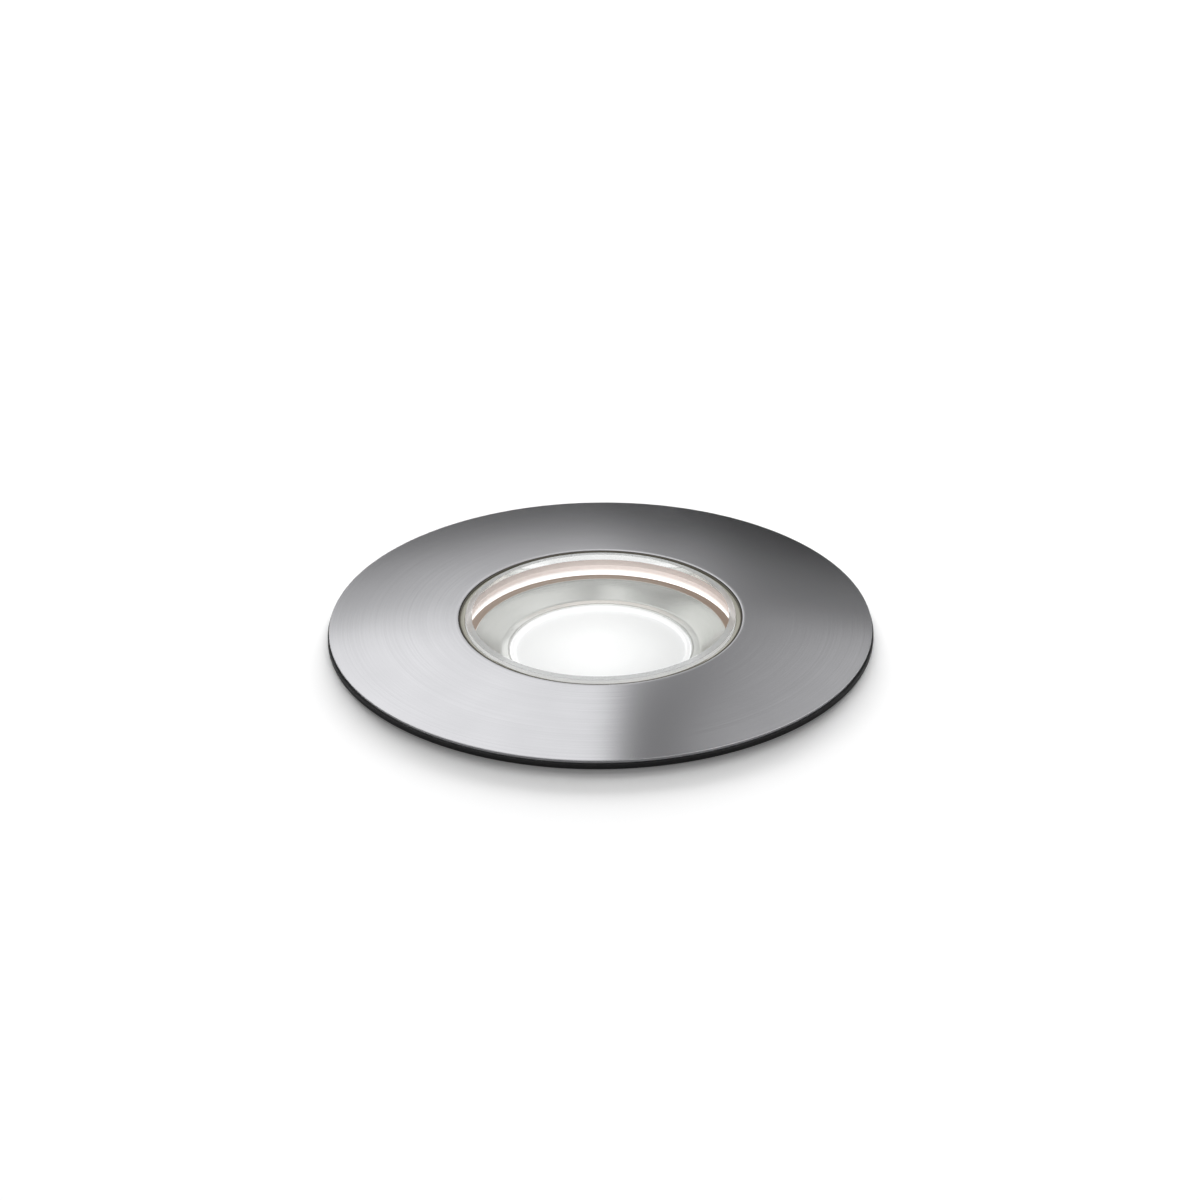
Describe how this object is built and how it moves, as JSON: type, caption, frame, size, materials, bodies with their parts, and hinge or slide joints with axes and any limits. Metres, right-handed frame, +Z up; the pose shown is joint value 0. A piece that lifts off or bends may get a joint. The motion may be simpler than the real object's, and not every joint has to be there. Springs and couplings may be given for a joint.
{
  "type": "recessed outdoor spotlight",
  "caption": "Round recessed ground spotlight: brushed steel trim, thick bevelled glass over a frosted lens, finned lamp with gland and spring clips in a ribbed sleeve.",
  "frame": {"origin": "centre of the light on the floor surface that the trim's gasket rests on", "axes": "+Z up out of the ground along the lamp's axis, -Y towards the viewer of the picture"},
  "size_m": [0.11, 0.11, 0.1124],
  "materials": {
    "trim_steel": "turned and brushed in circles",
    "fixing_steel": "plain",
    "black_rubber": "matte",
    "clear_glass": "clear, polished",
    "silicone": "satin",
    "cast_aluminium": "die cast, matte",
    "satin_aluminium": "satin",
    "frosted_optic": "frosted",
    "white_plastic": "moulded",
    "black_plastic": "moulded",
    "ceramic": "matte",
    "phosphor": "satin",
    "grey_pad": "matte",
    "red_wire": "satin",
    "board_green": "satin",
    "ferrite": "matte",
    "grey_plastic": "moulded",
    "spring_steel": "plain"
  },
  "bodies": {
    "sleeve": {"mounting_sleeve": "black_plastic", "cable_grommets": "black_rubber"},
    "lamp": {"window_glass": "clear_glass", "glass_gasket": "silicone", "retaining_ring": "fixing_steel", "retaining_screws": "fixing_steel", "lamp_housing": "cast_aluminium", "collar_ring": "black_rubber", "thermal_pad": "grey_pad", "led_board": "white_plastic", "led_carrier": "ceramic", "led_phosphor": "phosphor", "board_screws": "fixing_steel", "lens": "frosted_optic", "lens_holder": "white_plastic", "reflector_dish": "satin_aluminium", "led_leads": "red_wire", "driver_board": "board_green", "driver_screws": "fixing_steel", "driver_transformer": "ferrite", "driver_capacitor": "black_plastic", "driver_choke": "ferrite", "terminal_block": "grey_plastic", "rear_cap": "cast_aluminium", "rear_seal": "black_rubber", "rear_screws": "fixing_steel", "gland_body": "grey_plastic", "gland_locknut": "grey_plastic", "gland_seal": "black_rubber", "gland_nut": "grey_plastic", "clip_brackets": "spring_steel", "bracket_screws": "fixing_steel", "clip_pins": "fixing_steel", "clip_springs": "spring_steel"},
    "clip_a": {"spring_clip_a": "spring_steel"},
    "clip_b": {"spring_clip_b": "spring_steel"},
    "trim": {"trim_ring": "trim_steel", "trim_gasket": "black_rubber"}
  },
  "joints": [
    {"name": "lamp_lift", "type": "slide", "parent": "sleeve", "child": "lamp", "axis": [0, 0, 1], "range_m": [0, 0.12]},
    {"name": "trim_pull", "type": "slide", "parent": "lamp", "child": "trim", "axis": [0, 0, 1], "range_m": [0, 0.03]},
    {"name": "clip_a_fold", "type": "hinge", "parent": "lamp", "child": "clip_a", "pos_m": [0, 0.03645, -0.0448], "axis": [1, 0, 0], "range_deg": [0, 12], "stiffness_Nm_per_rad": 0.05, "springref_deg": -20.05},
    {"name": "clip_b_fold", "type": "hinge", "parent": "lamp", "child": "clip_b", "pos_m": [0, -0.03645, -0.0448], "axis": [-1, 0, 0], "range_deg": [0, 12], "stiffness_Nm_per_rad": 0.05, "springref_deg": -20.05}
  ]
}
